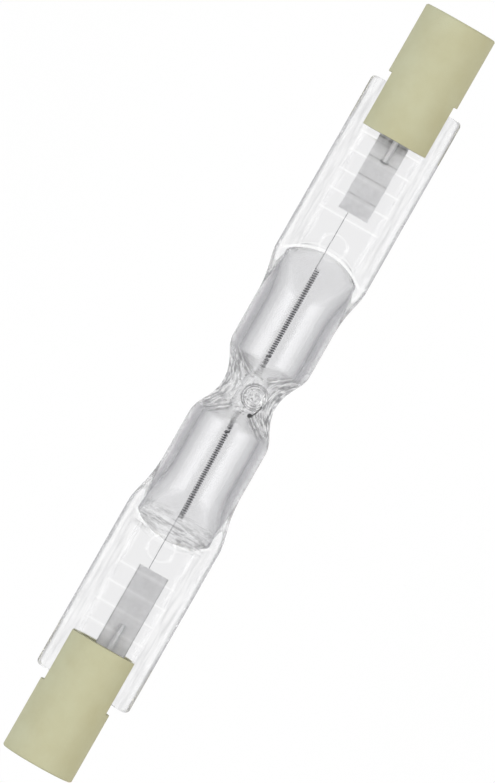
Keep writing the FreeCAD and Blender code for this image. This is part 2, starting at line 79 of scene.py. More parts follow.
def place(name, description, millimetres, **limits):
    """A property for a place along or across the axis, with its default in millimetres."""
    return bpy.props.FloatProperty(
        name=name, description=description, default=millimetres * MM, unit="LENGTH", precision=5,
        **limits,
    )


def length(name, description, millimetres):
    """A property for a length, which is never negative."""
    return place(name, description, millimetres, min=0.0)


def angle(name, description, degrees):
    """A property for an angle, with its default in degrees."""
    return bpy.props.FloatProperty(
        name=name, description=description, default=math.radians(degrees), subtype="ANGLE",
    )


def colour(name, description, red, green, blue):
    """A property for a colour, given as the screen shows it, from 0 to 255."""
    screen = np.array([red, green, blue]) / 255
    linear = np.where(screen <= 0.04045, screen / 12.92, ((screen + 0.055) / 1.055) ** 2.4)
    return bpy.props.FloatVectorProperty(
        name=name, description=description, default=linear.tolist(), size=3,
        min=0.0, max=1.0, subtype="COLOR",
    )


class GlassSizes(bpy.types.PropertyGroup):
    """Sizes and tint of the quartz tube with its pinches and seals."""
    lobe_diameter: length("Lobe", "Diameter of the tube's two lobes", 8.08)
    waist_diameter: length("Waist", "Diameter of the tube at its waist", 5.5)
    wall: length("Wall", "Thickness of the tube's wall", 1.0)
    throat_diameter: length("Throat", "Width of the passage between the lobes", 2.4)
    tip_height: length("Tip height", "Height of the exhaust tip above the axis", 4.0)
    tip_diameter: length("Tip diameter", "Diameter of the exhaust tip", 2.5)
    tip_shift: place("Tip shift", "How far the tip stands off the axis", -0.58)
    cavity_end_right: length("Cavity, right", "Reach of the cavity towards the right", 14.65)
    cavity_end_left: length("Cavity, left", "Reach of the cavity towards the left", 15.5)
    seal_width_right: length("Seal, right", "Width of the right seal", 9.4)
    seal_width_left: length("Seal, left", "Width of the left seal", 9.7)
    seal_end: length("Seal end", "Distance of each seal's end from the middle", 31.1)
    bead_thickness: length("Bead", "Thickness of a seal along its edges", 2.6)
    web_thickness: length("Web", "Thickness of a seal between its beads", 2.2)
    rib_pitch: length("Rib pitch", "Distance from rib to rib", 1.96)
    rib_setback_right: length("First rib, right", "First rib's distance from the seal's end", 3.05)
    rib_setback_left: length("First rib, left", "First rib's distance from the seal's end", 2.15)
    tint: colour("Tint", "What the glass lets through", 236, 236, 237)
    body: bpy.props.FloatProperty(
        name="Body", description="Share of the light that the glass bends", default=0.84,
        min=0.0, max=1.0, subtype="FACTOR",
    )


class FilamentSizes(bpy.types.PropertyGroup):
    """Sizes and colours of the coiled filament."""
    wire_diameter: length("Wire", "Diameter of the wire in the coils", 0.105)
    leg_diameter: length("Legs", "Diameter of the wire in the legs", 0.07)
    coil_diameter: length("Coil", "Outer diameter of each coil", 0.51)
    coil_pitch: length("Pitch", "Distance from turn to turn", 0.227)
    # Painted shade and light: the coils' upper side takes the dark colour and their lower side the
    # light one, so that the turns show as stripes
    tungsten: colour("Tungsten", "Colour of the wire's upper side", 66, 66, 70)
    tungsten_painted_lit: colour("Tungsten, light", "Colour of the wire's lower side", 226, 226, 229)


class MetalLooks(bpy.types.PropertyGroup):
    """Colours of the foils, leads and contacts."""
    foil: colour("Foil", "Colour of the sealing foils", 254, 254, 255)
    lead: colour("Lead", "Colour of the outer leads", 254, 254, 255)
    contact: colour("Contact", "Colour of the contacts", 205, 200, 190)


class CapLooks(bpy.types.PropertyGroup):
    """Colours of the ceramic caps and the cement."""
    ceramic: colour("Ceramic", "Colour of the caps", 200, 200, 168)
    ceramic_dark: colour("Ceramic, dark", "Colour of the caps' darker patches", 190, 187, 151)
    # Partly the ceramic's own browner tone, partly painted shade for the side that gets less light
    ceramic_brown_and_shade: colour("Ceramic, brown", "Colour of the side that is fired darker", 186, 177, 132)
    cement: colour("Cement", "Colour of the cement", 214, 209, 190)


class StageSettings(bpy.types.PropertyGroup):
    """Floor, light and camera."""
    distance: length("Distance", "Distance of the camera from the bulb", 900.0)
    lean: angle("Lean", "Angle of the bulb from the picture's upright", 29.69)
    tilt: angle("Tilt", "How far the camera stands towards the right end", 1.2)
    field: length("Field", "Height of the picture at the bulb", 71.77)
    slide_right: place("Slide right", "How far the picture's middle lies right of the bulb's", -0.19)
    slide_up: place("Slide up", "How far the picture's middle lies above the bulb's", 0.21)
    drop: length("Drop", "How far the floor lies below the bulb", 50.0)
    daylight: bpy.props.FloatProperty(
        name="Daylight", description="Strength of the light from all round", default=0.42,
    )
    softbox: bpy.props.FloatProperty(
        name="Soft boxes", description="Power of each of the two lamps, in watts", default=0.33,
    )
    softbox_length: length("Box length", "Size of each lamp along the bulb", 300.0)
    softbox_width: length("Box width", "Size of each lamp across the bulb", 200.0)
    softbox_distance: length("Box distance", "Distance of each lamp from the bulb", 300.0)
    softbox_lean: angle("Box lean", "Angle of each lamp from straight above the bulb", 44)


# Shader maths

class Value:
    """A node's output. Sums, products and powers of values add Math nodes."""

    def __init__(self, finish, socket):
        self.finish = finish
        self.socket = socket

    def math(self, operation, first, second):
        return self.finish.add("Math", {"operation": operation}, {0: first, 1: second})

    def __add__(self, other):
        return self.math("ADD", self, other)

    __radd__ = __add__

    def __sub__(self, other):
        return self.math("SUBTRACT", self, other)

    def __rsub__(self, other):
        return self.math("SUBTRACT", other, self)

    def __mul__(self, other):
        return self.math("MULTIPLY", self, other)

    __rmul__ = __mul__

    def __truediv__(self, other):
        return self.math("DIVIDE", self, other)

    def __pow__(self, other):
        return self.math("POWER", self, other)


class Finish:
    """The nodes of a new material, or of the world where one is given."""

    def __init__(self, name, world=None):
        self.material = world or bpy.data.materials.new(name)
        self.material.use_nodes = True
        self.tree = self.material.node_tree
        self.tree.nodes.clear()

    def add(self, kind, settings, sockets, output=0):
        """Add a node: its settings first, then a value or a link for each named socket."""
        node = self.tree.nodes.new("ShaderNode" + kind)
        for name, setting in settings.items():
            setattr(node, name, setting)
        for name, content in sockets.items():
            if isinstance(content, Value):
                self.tree.links.new(content.socket, node.inputs[name])
            else:
                node.inputs[name].default_value = content
        return Value(self, node.outputs[output]) if node.outputs else None

    def coordinates(self, scale=(1.0, 1.0, 1.0)):
        """Object coordinates in millimetres, stretched by a scale."""
        spot = self.add("TexCoord", {}, {}, "Object")
        return self.add("Mapping", {}, {"Vector": spot, "Scale": [s / MM for s in scale]})

    def noise(self, spot, size, detail=2.0, roughness=0.5):
        """Cloudy noise from 0 to 1 with patches of a size in millimetres."""
        return self.add(
            "TexNoise", {},
            {"Vector": spot, "Scale": 1 / size, "Detail": detail, "Roughness": roughness}, "Fac",
        )

    def part(self, spot, axis):
        """One coordinate of a place."""
        return self.add("SeparateXYZ", {}, {"Vector": spot}, axis)

    def size_of(self, value):
        """A value without its sign."""
        return self.add("Math", {"operation": "ABSOLUTE"}, {0: value})

    def size(self, spot, axis):
        """Distance of a place from the middle along one axis."""
        return self.size_of(self.part(spot, axis))

    def above_zero(self, value):
        """1 where a value is above 0, and 0 elsewhere."""
        return self.add("Math", {"operation": "GREATER_THAN"}, {0: value, 1: 0.0})

    def larger(self, first, second):
        """The larger of two values."""
        return self.add("Math", {"operation": "MAXIMUM"}, {0: first, 1: second})

    def distance(self, x, y):
        """Root of the sum of two squares."""
        return (x * x + y * y) ** 0.5

    def band(self, off, reach):
        """1 where a value is 0, falling to 0 at a reach on both sides."""
        return self.spread(self.size_of(off), reach, 0.0)

    def off_row(self, value, pitch):
        """Distance from a value to the nearest whole number of pitches."""
        return self.add("Math", {"operation": "PINGPONG"}, {0: value / pitch, 1: 0.5}) * pitch

    def spread(self, fac, low, high):
        """Stretch the part of a value from low to high over 0 to 1."""
        return self.add(
            "MapRange", {"clamp": True}, {"Value": fac, "From Min": low, "From Max": high},
        )

    def blend(self, fac, first, second):
        """Mix two colours."""
        return self.add(
            "Mix", {"data_type": "RGBA"},
            {"Factor": fac, "A": tone(first), "B": tone(second)}, 2,
        )

    def bump(self, height, depth):
        """Normal for a height from 0 to 1 that stands for a depth in millimetres."""
        return self.add("Bump", {}, {"Height": height, "Distance": depth * MM, "Strength": 1.0})

    def surface(self, sockets):
        """Close the material with one shader."""
        shader = self.add("BsdfPrincipled", {}, sockets)
        self.add("OutputMaterial", {}, {"Surface": shader})
        return self.material


def tone(content):
    """A colour for a socket: links stay, three numbers get an alpha."""
    return content if isinstance(content, Value) else (*content, 1.0)


def darker(shade, share):
    """A colour with each of its numbers multiplied by a share."""
    return [c * share for c in shade]


# Shapes

def smooth_step(x, low, high):
    """0 below low, 1 above high, and t squared times (3 - 2 t) between them."""
    t = np.clip((x - low) / (high - low), 0.0, 1.0)
    return t * t * (3.0 - 2.0 * t)


def smooth_max(a, b, radius):
    """The larger of two heights, with their corner filled over a band of a given radius."""
    band = np.maximum(radius, TINY)
    share = np.clip(0.5 + 0.5 * (a - b) / band, 0.0, 1.0)
    return b + (a - b) * share + band * share * (1.0 - share)


def ellipse(y, half_width):
    """Height of an ellipse of height 1: the root of 1 less the square of y / half-width."""
    inside = np.maximum(half_width, TINY)
    return np.where(half_width > TINY, np.sqrt(np.clip(1.0 - (y / inside) ** 2, 0.0, None)), 0.0)


def skin(stations, half_width, upper, lower, around, warp=None):
    """Points of a closed skin with one ring at each station along X.

    On a ring y is the half-width times sin(phi). As phi goes from -90 to 90 degrees z is the
    upper height at (x, y), and on the way back z is minus the lower height.
    """
    phi = np.linspace(-0.5, 0.5, around // 2 + 1) * math.pi
    x = np.repeat(stations[:, None], len(phi), axis=1)
    y = half_width(stations)[:, None] * np.sin(phi)[None, :]
    over = (x, y) if warp is None else warp(x, y)
    top = np.stack([over[0], over[1], upper(*over)], axis=2)
    bottom = np.stack([x, y, -lower(x, y)], axis=2)[:, -2:0:-1]
    return np.concatenate([top, bottom], axis=1)


def ring_faces(rings, around):
    """Four-cornered faces between neighbouring rings of points."""
    i, j = np.meshgrid(np.arange(rings - 1), np.arange(around), indexing="ij")
    k = (j + 1) % around
    corners = [i * around + j, (i + 1) * around + j, (i + 1) * around + k, i * around + k]
    return np.stack(corners, 2).reshape(-1, 4)


def skin_faces(rings, around, first, inwards):
    """Faces between the rings of a skin, and strips that close both ends."""
    half = around // 2
    up = np.arange(1, half - 1)
    strip = np.stack([up, up + 1, around - up - 1, around - up], 1)
    corners = np.array([[0, 1, around - 1], [half - 1, half, half + 1]])
    last = (rings - 1) * around
    groups = (
        ring_faces(rings, around), strip, corners, strip[:, ::-1] + last, corners[:, ::-1] + last,
    )
    faces = []
    for group in groups:
        turned = group[:, ::-1] if inwards else group
        faces += (turned + first).tolist()
    return faces


def add_object(name, data):
    """A new object in the scene's own collection."""
    thing = bpy.data.objects.new(name, data)
    bpy.context.scene.collection.objects.link(thing)
    return thing


def weld(mesh, gap):
    """Merge points within a gap in metres, drop faces that this empties, and smooth the rest."""
    shape = bmesh.new()
    shape.from_mesh(mesh)
    bmesh.ops.remove_doubles(shape, verts=shape.verts, dist=gap)
    bmesh.ops.dissolve_degenerate(shape, edges=shape.edges, dist=gap)
    shape.to_mesh(mesh)
    shape.free()
    mesh.polygons.foreach_set("use_smooth", np.ones(len(mesh.polygons), bool))


def finish_piece(name, mesh, material, slot, *nodes):
    """Make the object, hand it its material, tie it to the body, and hide the CAD nodes it stands
    for.
    """
    mesh.materials.clear()
    mesh.materials.append(material)
    piece = add_object(name, mesh)
    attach(piece, BODY)
    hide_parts(*nodes)
    return piece


def make_piece(name, points, faces, material, slot, *nodes):
    """Put points in millimetres and faces into a mesh that stands for CAD nodes."""
    mesh = bpy.data.meshes.new(name)
    mesh.from_pydata(points * MM, [], faces)
    weld(mesh, gap=1e-8)
    return finish_piece(name, mesh, material, slot, *nodes)


def dressed(node, name, material, slot, crease, edge=0.0):
    """A welded copy of a CAD node, with smooth faces, sharp creases and softened edges."""
    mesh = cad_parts[node].data.copy()
    mesh.name = name
    weld(mesh, gap=1e-6)
    mesh.set_sharp_from_angle(angle=math.radians(crease))
    piece = finish_piece(name, mesh, material, slot, node)
    if edge:
        bevel = piece.modifiers.new("Edge", "BEVEL")
        bevel.width = edge * MM
        bevel.segments = 2
        bevel.limit_method = "ANGLE"
        bevel.angle_limit = math.radians(crease)
        bevel.harden_normals = True
    return piece


class Envelope:
    """The form of the glass, in millimetres, as functions of the place (x, y)."""

    # Radii of the arcs at the waist and at the lobes, and the slope between them
    waist_arc = 4.0
    lobe_arc = 3.0
    slope = math.radians(27)
    # Where each pinch starts to widen, and how far before the cavity's end it starts to fall
    pinch_start = 8.3
    fall_lead = 6.05
    # Length of the arch that closes the cavity, and radius of the rounding at the seal's end
    arch = 1.45
    end_round = 0.45
    rib_count = 6

    def __init__(self, sizes):
        mm = 1 / MM
        self.lobe = sizes.lobe_diameter * mm / 2
        self.waist = sizes.waist_diameter * mm / 2
        self.wall = sizes.wall * mm
        self.throat = sizes.throat_diameter * mm / 2
        self.tip = sizes.tip_diameter * mm / 2
        self.tip_height = sizes.tip_height * mm
        self.tip_shift = sizes.tip_shift * mm
        self.cavity_right = sizes.cavity_end_right * mm
        self.cavity_left = sizes.cavity_end_left * mm
        self.seal_right = sizes.seal_width_right * mm / 2
        self.seal_left = sizes.seal_width_left * mm / 2
        self.seal_end = sizes.seal_end * mm
        self.bead = sizes.bead_thickness * mm / 2
        self.web = sizes.web_thickness * mm / 2
        self.rib_pitch = sizes.rib_pitch * mm
        self.ribs_right = self.seal_end - sizes.rib_setback_right * mm
        self.ribs_left = self.seal_end - sizes.rib_setback_left * mm

    def cavity_end(self, x):
        """Reach of the cavity on the side of x."""
        return np.where(x > 0, self.cavity_right, self.cavity_left)

    def seal_half(self, x):
        """Half-width of the seal on the side of x."""
        return np.where(x > 0, self.seal_right, self.seal_left)

    def tube(self, x):
        """Radius of the tube: an arc at the waist, a straight slope, an arc to the lobe."""
        away = np.abs(x)
        x_arc = self.waist_arc * math.sin(self.slope)
        y_arc = self.waist + self.waist_arc * (1 - math.cos(self.slope))
        y_slope = self.lobe - self.lobe_arc * (1 - math.cos(self.slope))
        x_slope = x_arc + (y_slope - y_arc) / math.tan(self.slope)
        x_full = x_slope + self.lobe_arc * math.sin(self.slope)
        near = self.waist + self.waist_arc - np.sqrt(np.clip(self.waist_arc**2 - away**2, 0, None))
        ramp = y_arc + (away - x_arc) * math.tan(self.slope)
        back = np.clip(x_full - away, 0, self.lobe_arc)
        crown = self.lobe - self.lobe_arc + np.sqrt(self.lobe_arc**2 - back**2)
        return np.where(away < x_arc, near, np.where(away < x_slope, ramp, crown))

    def opening(self, x):
        """How far the pinch has widened: 0 on the tube, 1 where the cavity's arch starts."""
        full = self.cavity_end(x) - self.arch
        share = np.clip((np.abs(x) - self.pinch_start) / (full - self.pinch_start), 0, 1)
        return smooth_step(share ** 1.4, 0, 1)

    def half_width(self, x):
        """Half-width of the whole glass, rounded off at the ends of the seals."""
        narrow = self.tube(x)
        wide = narrow + (self.seal_half(x) - narrow) * self.opening(x)
        over = np.clip(np.abs(x) - (self.seal_end - self.end_round), 0, self.end_round)
        return wide - self.end_round + np.sqrt(self.end_round**2 - over**2)

    def fall(self, x):
        """Height of the pinch: most of a cosine wave from the lobe to just below the web's face."""
        fall_length = 7.75
        fall_turn = math.radians(160)
        low = self.web - 0.15
        start = self.cavity_end(x) - self.fall_lead
        turn = np.clip((np.abs(x) - start) / fall_length, 0, 1) * fall_turn
        return low + (self.lobe - low) * (1 + np.cos(turn)) / 2

    def dome(self, x, y):
        """The round tube and the part of the pinch that closes over the cavity."""
        dome_length = 2.6
        away = np.abs(x)
        end = self.cavity_end(x)
        beyond = np.clip((away - (end - self.arch)) / dome_length, 0, 1)
        wide = np.where(away < self.pinch_start, self.tube(x), self.lobe) * np.sqrt(1 - beyond**2)
        tall = np.where(away < end - self.fall_lead, self.tube(x), self.fall(x))
        return tall * ellipse(y, wide)

    def tongue(self, x, y):
        """A flat tongue on the web past the cavity's end: 1 on it, 0 beside it."""
        half_width = 1.35
        reach = 1.9
        inside = smooth_step(half_width - np.abs(y), 0, 0.3)
        return inside * smooth_step(self.cavity_end(x) + reach - np.abs(x), 0, 0.4)

    def ribs(self, x, y):
        """The ribs across the web: 1 along their tops, 0 beside them."""
        half_thickness = 0.24
        first = np.where(x > 0, self.ribs_right, self.ribs_left)
        count = (first - np.abs(x)) / self.rib_pitch
        off = (count - np.round(count)) * self.rib_pitch
        there = (count > -0.5) & (count < self.rib_count - 0.5)
        ridge = np.where(there, np.clip(1 - (off / half_thickness) ** 2, 0, 1) ** 1.5, 0)
        return ridge * (1 - smooth_step(np.abs(y), 2.5, 3.1))

    def slab(self, x, y):
        """The flat seal: web, bead slopes, round edges, and a tongue and ribs on the web."""
        tongue_height = 0.12
        rib_height = 0.1
        roundness = 3.2
        across = np.abs(y)
        level = self.web + (self.bead - self.web) * smooth_step(across, 2.4, 3.3)
        level = level + tongue_height * self.tongue(x, y) + rib_height * self.ribs(x, y)
        inset = np.clip(1 - (self.half_width(x) - across) / self.bead, 0, 1)
        edge = (1 - inset**roundness) ** (1 / roundness)
        return level * edge * smooth_step(np.abs(x), 7.0, 10.5)

    def stub(self, x, y):
        """The exhaust tip: a flat-topped mound round its own axis."""
        foot_radius = self.tip + 0.07
        foot_height = self.waist * 0.85
        out = np.hypot(x, y - self.tip_shift) / foot_radius
        crown = np.sqrt(np.clip(1 - out**5, 0, None))
        return np.where(out < 1, foot_height + (self.tip_height - foot_height) * crown, 0)

    def outer_top(self, x, y):
        """Height above the axis of the glass's upper face."""
        soft = 0.35 * ellipse(y, self.half_width(x))
        return smooth_max(self.outer_bottom(x, y), self.stub(x, y), soft)

    def outer_bottom(self, x, y):
        """Depth below the axis of the glass's lower face."""
        soft = 0.3 * smooth_step(np.abs(x), 9.0, 12.0) * ellipse(y, self.half_width(x))
        return smooth_max(self.dome(x, y), self.slab(x, y), soft)

    def draw_in(self, x, y):
        """Draw grid points towards the wall of the tip, so that it gets enough of them."""
        strength = 0.6
        reach = 0.4
        from_tip = y - self.tip_shift
        out = np.maximum(np.hypot(x, from_tip), 1e-9)
        pull = strength * (self.tip - out) * np.exp(-((out - self.tip) / reach) ** 2)
        return x + x / out * pull, y + from_tip / out * pull

    def stations(self):
        """Places of the rings: close together where the form changes fast."""
        flat_end = self.seal_end - self.end_round
        runs = (
            (0.025, 2.0, 0.05), (2.0, 4.3, 0.1), (4.3, 8.3, 0.4), (8.3, 17.6, 0.15),
            (17.6, flat_end, 0.3),
        )
        half = [np.arange(start, end, step) for start, end, step in runs]
        half.append(flat_end + self.end_round * np.sin(np.linspace(0, 0.5, 8) * math.pi))
        sides = []
        for first in (self.ribs_left, self.ribs_right):
            ribs = first - self.rib_pitch * np.arange(self.rib_count)
            near = (ribs[:, None] + np.linspace(-0.25, 0.25, 11)[None, :]).ravel()
            sides.append(np.unique(np.round(np.concatenate([*half, near]), 4)))
        return np.concatenate([-sides[0][::-1], sides[1]])

    def bore(self, x):
        """Radius of the cavity: the throat, then a smooth rise to the lobe less the wall."""
        full = self.lobe - self.wall
        return self.throat + (full - self.throat) * smooth_step(np.abs(x), 1.2, 3.5)

    def cavity_half(self, x):
        """Half-width of the cavity, closed at its end by a flat arch with tight shoulders."""
        side_wall = 1.1
        narrow = self.bore(x)
        wide = narrow + (self.seal_half(x) - side_wall - narrow) * self.opening(x)
        beyond = np.clip((np.abs(x) - (self.cavity_end(x) - self.arch)) / self.arch, 0, 1)
        return wide * np.sqrt(1 - beyond**1.35)

    def cavity_height(self, x, y):
        """Half-height of the cavity: the bore, then the pinch less the wall."""
        tall = np.minimum(self.bore(x), self.fall(x) - self.wall)
        return tall * ellipse(y, self.cavity_half(x))

    def cavity_top(self, x, y):
        """The cavity's upper side with the blind bore of the tip."""
        bore_radius = 0.6
        roof = 0.8
        out = np.hypot(x, y - self.tip_shift) / bore_radius
        crown = np.sqrt(np.clip(1 - out**4, 0, None)) * (self.tip_height - roof)
        soft = 0.15 * ellipse(y, self.cavity_half(x)) + TINY
        return smooth_max(self.cavity_height(x, y), np.where(out < 1, crown, 0), soft)

    def cavity_stations(self):
        """Places of the cavity's rings, closest at the waist and at both ends."""
        sides = []
        for end in (self.cavity_left, self.cavity_right):
            runs = ((0.04, 1.6, 0.08), (1.6, 4.0, 0.15), (4.0, 8.2, 0.7), (8.2, end - 1.5, 0.35))
            side = [np.arange(start, stop, step) for start, stop, step in runs]
            side.append(end - self.arch * (1 - np.sin(np.linspace(0, 0.5, 20) * math.pi)))
            sides.append(np.concatenate(side))
        return np.concatenate([-sides[0][::-1], sides[1]])


class Quartz(Finish):
    """Clear fused quartz with the marks of its making and some painted light and shade, each a mask
    over places in millimetres.

    The waist and the beads are drawn into lengthwise streaks, the left end of the cavity is
    rippled, and the rings where the jaws pressed and some streaks are paler. Painted highlights
    run along the ribs and along the line where the cavity closes, painted light pales the pinch's
    corners, and painted shade rings the tip and darkens a crescent beside it.
    """

    def __init__(self, sizes):
        super().__init__("quartz")
        self.sizes = sizes
        self.form = Envelope(sizes)
        self.spot = self.coordinates()
        self.x, self.y, self.up = (self.part(self.spot, axis) for axis in "XYZ")
        self.away = self.size_of(self.x)
        self.across = self.size_of(self.y)
        self.right = self.above_zero(self.x)

        # Noise along the beads, along the waist's sides and across the cavity's left end
        self.streaks = self.noise(self.coordinates((0.12, 1.0, 0.3)), 0.32, 3.0)
        bow = self.across - self.away * self.away * 0.2
        bent = self.add("CombineXYZ", {}, {"X": self.x * 0.3, "Y": bow, "Z": self.y * 0.05})
        self.drawn = self.noise(bent, 0.17, 2.0)
        self.ripples = self.noise(self.coordinates((1.0, 0.16, 0.3)), 0.3, 2.0)
        self.patchy = self.spread(self.noise(self.spot, 0.4, 3.0), 0.42, 0.58)

        # Regions of the glass
        self.pressed = self.spread(self.away, 12.0, 15.0)
        self.beads = self.pressed * self.spread(self.across, 2.3, 2.7)
        self.waist = self.spread(self.away, 3.4, 2.4)
        self.sides = self.waist * self.spread(self.across, 1.1, 1.9)
        self.rippled = self.band(self.x + 14.1, 1.6) ** 0.5 * self.spread(self.across, 3.7, 3.2)
        self.from_tip = self.distance(self.x, self.y - self.form.tip_shift)
        self.tip = self.spread(self.from_tip, 1.5, 1.25) * self.spread(self.up, 1.6, 2.2)

        # Slanted folds from the tip to the waist's sides, and the distance from their middle
        self.off_fold = (self.across - 1.25) * 0.75 - (self.away - 1.8) + self.drawn * 0.3
        along_fold = self.spread(self.away, 1.3, 1.6) * self.spread(self.away, 3.5, 3.1)
        self.folds = along_fold * self.spread(self.across, 0.9, 1.2)

    def by_end(self, right, left):
        """One number at the right end and another at the left end."""
        return self.right * (right - left) + left

    def relief(self):
        """Height of the skin: waves, streaks along the beads, draw lines and ripples."""
        waves = self.noise(self.coordinates((0.35, 1.0, 1.0)), 0.9, 2.0)
        return (
            waves * (self.pressed * 0.8 + 0.1) + self.streaks * self.beads
            + self.drawn * self.sides * 2.0 + self.ripples * self.rippled * 3.5
        )

    def ribs(self):
        """Painted highlights: pale lines along the ribs across each seal."""
        pitch = self.form.rib_pitch
        last = self.form.rib_count - 0.5
        inwards = self.by_end(self.form.ribs_right, self.form.ribs_left) - self.away
        lines = self.spread(self.off_row(inwards, pitch), 0.15, 0.07)
        lines = lines * self.spread(self.across, 3.3, 2.9)
        return lines * self.spread(inwards / pitch, last + 0.1, last - 0.1)

    def rings(self):
        """The ring that the jaws pressed beyond each end of the cavity."""
        middle = self.by_end(15.4, 16.3)
        radius = 1.25
        off = self.distance(self.away - middle, self.y) - radius
        return self.band(off, 0.14) * self.pressed

    def cavity_end_highlight(self):
        """Painted highlight: a pale bowed line where the cavity closes, stronger at the right end.
        """
        end = self.by_end(self.form.cavity_right, self.form.cavity_left)
        off = self.away + self.y * self.y * 0.095 - end
        line = self.spread(self.size_of(off - 0.14), 0.2, 0.1)
        return line * self.spread(self.across, 4.2, 3.8) * self.by_end(1.4, 0.9)

    def pale_marks(self):
        """Marks that let more of the white behind the glass straight through, painted highlights and
        painted light among them.
        """
        # Painted light: the pinch's corners are made paler to lift the shade there
        corners = self.band(self.away - 11.6, 2.2) * self.spread(self.across, 3.6, 4.1)
        return (
            self.ribs() + self.rings() * 0.8 + self.cavity_end_highlight()
            + self.beads * self.spread(self.streaks, 0.5, 0.62) * 0.8
            + self.rippled * self.spread(self.ripples, 0.5, 0.6) * 1.2
            + self.band(self.off_fold, 0.12) * self.folds
            + self.sides * self.spread(self.drawn, 0.52, 0.6) * 0.65
            + self.waist * 0.55 + corners * 0.9
        )

    def dull_marks(self):
        """Marks that darken the glass, painted shade in the tip among them."""
        # Painted shade: dark rings where the tip's thick walls bend the light
        painted_tip_rings = (
            self.band(self.from_tip - 1.22, 0.09) + self.band(self.from_tip - 1.02, 0.06)
            + self.band(self.from_tip - 0.8, 0.08) * self.patchy
        )
        bubbles = self.spread(self.noise(self.spot, 0.33, 1.0), 0.6, 0.65)
        bubbles = bubbles * self.spread(self.away, 2.3, 1.9) * self.spread(self.across, 2.0, 1.6)
        fleck = self.spread(self.distance((self.x + 14.9) * 3.5, self.y + 1.0), 0.4, 0.1)
        beside_folds = self.band(self.size_of(self.off_fold) - 0.2, 0.1) * self.folds
        return (
            # Painted shade in the tip: its dark rings and dark patches
            self.tip * (painted_tip_rings * 1.5 + self.patchy * 0.4)
            + self.sides * self.spread(self.drawn, 0.49, 0.39) * 1.1
            + self.beads * self.spread(self.streaks, 0.47, 0.35) * 0.2
            + self.rippled * self.spread(self.ripples, 0.44, 0.36) * 0.9
            + beside_folds * 0.8 + fleck * 1.2
            + bubbles * self.spread(self.up, 0.8, 1.2) * 0.9
        )

    def painted_tip_shade(self):
        """Painted shade beside the tip: a dark bent crescent where the tip's steep side shows a dark
        reflection, a dark spot at its end and dark patches below.
        """
        from_bend = self.x + 0.35
        dark_crescent = self.band(self.y + 1.56 - from_bend * from_bend * 0.25, 0.1)
        dark_crescent = dark_crescent * self.spread(self.x, -0.3, -0.5) * self.spread(self.x, -1.75, -1.6) * 1.3
        fleck = self.spread(self.distance(self.x + 1.69, self.y + 0.98), 0.27, 0.13)
        dark_patches = self.band(self.x + 1.85, 0.13) * self.band(self.y + 0.15, 0.55)
        dark_patches = dark_patches * self.spread(self.patchy, 0.3, 0.7)
        near = (dark_crescent + fleck + dark_patches) * self.spread(self.up, 1.0, 1.4)
        return self.spread(near, 0.1, 0.6)

    def make(self):
        """The material. Its alpha is the share of the light that the glass bends."""
        pale = self.pale_marks()
        dull = self.dull_marks()
        painted_tip_shade = self.painted_tip_shade()
        tint = self.sizes.tint
        shade = self.blend(dull, tint, darker(tint, 0.3))
        # Painted shade beside the tip: nearly black, and there no light passes straight through
        shade = self.blend(painted_tip_shade, shade, darker(tint, 0.01))
        clear = pale * 0.6 + self.tip * 0.3 + self.pressed * 0.1 - dull * 0.5
        alpha = self.spread(clear, 1.0, 0.0) * self.sizes.body
        return self.surface({
            "Base Color": shade, "Roughness": 0.0, "IOR": 1.46, "Transmission Weight": 1.0,
            "Alpha": alpha + painted_tip_shade * (1 - alpha), "Normal": self.bump(self.relief(), 0.02),
        })


def build_glass(sizes):
    """The outer skin and the cavity's skin, in one mesh."""
    form = Envelope(sizes)
    around = 160
    inner_around = 96
    stations = form.stations()
    outside = skin(
        stations, form.half_width, form.outer_top, form.outer_bottom, around, form.draw_in,
    )
    inner_stations = form.cavity_stations()
    inside = skin(
        inner_stations, form.cavity_half, form.cavity_top, form.cavity_height, inner_around,
    )
    first = len(stations) * around
    points = np.concatenate([outside.reshape(-1, 3), inside.reshape(-1, 3)])
    faces = skin_faces(len(stations), around, 0, False)
    faces += skin_faces(len(inner_stations), inner_around, first, True)
    material = Quartz(sizes).make()
    return make_piece("glass_envelope", points, faces, material, "quartz", "quartz_envelope")


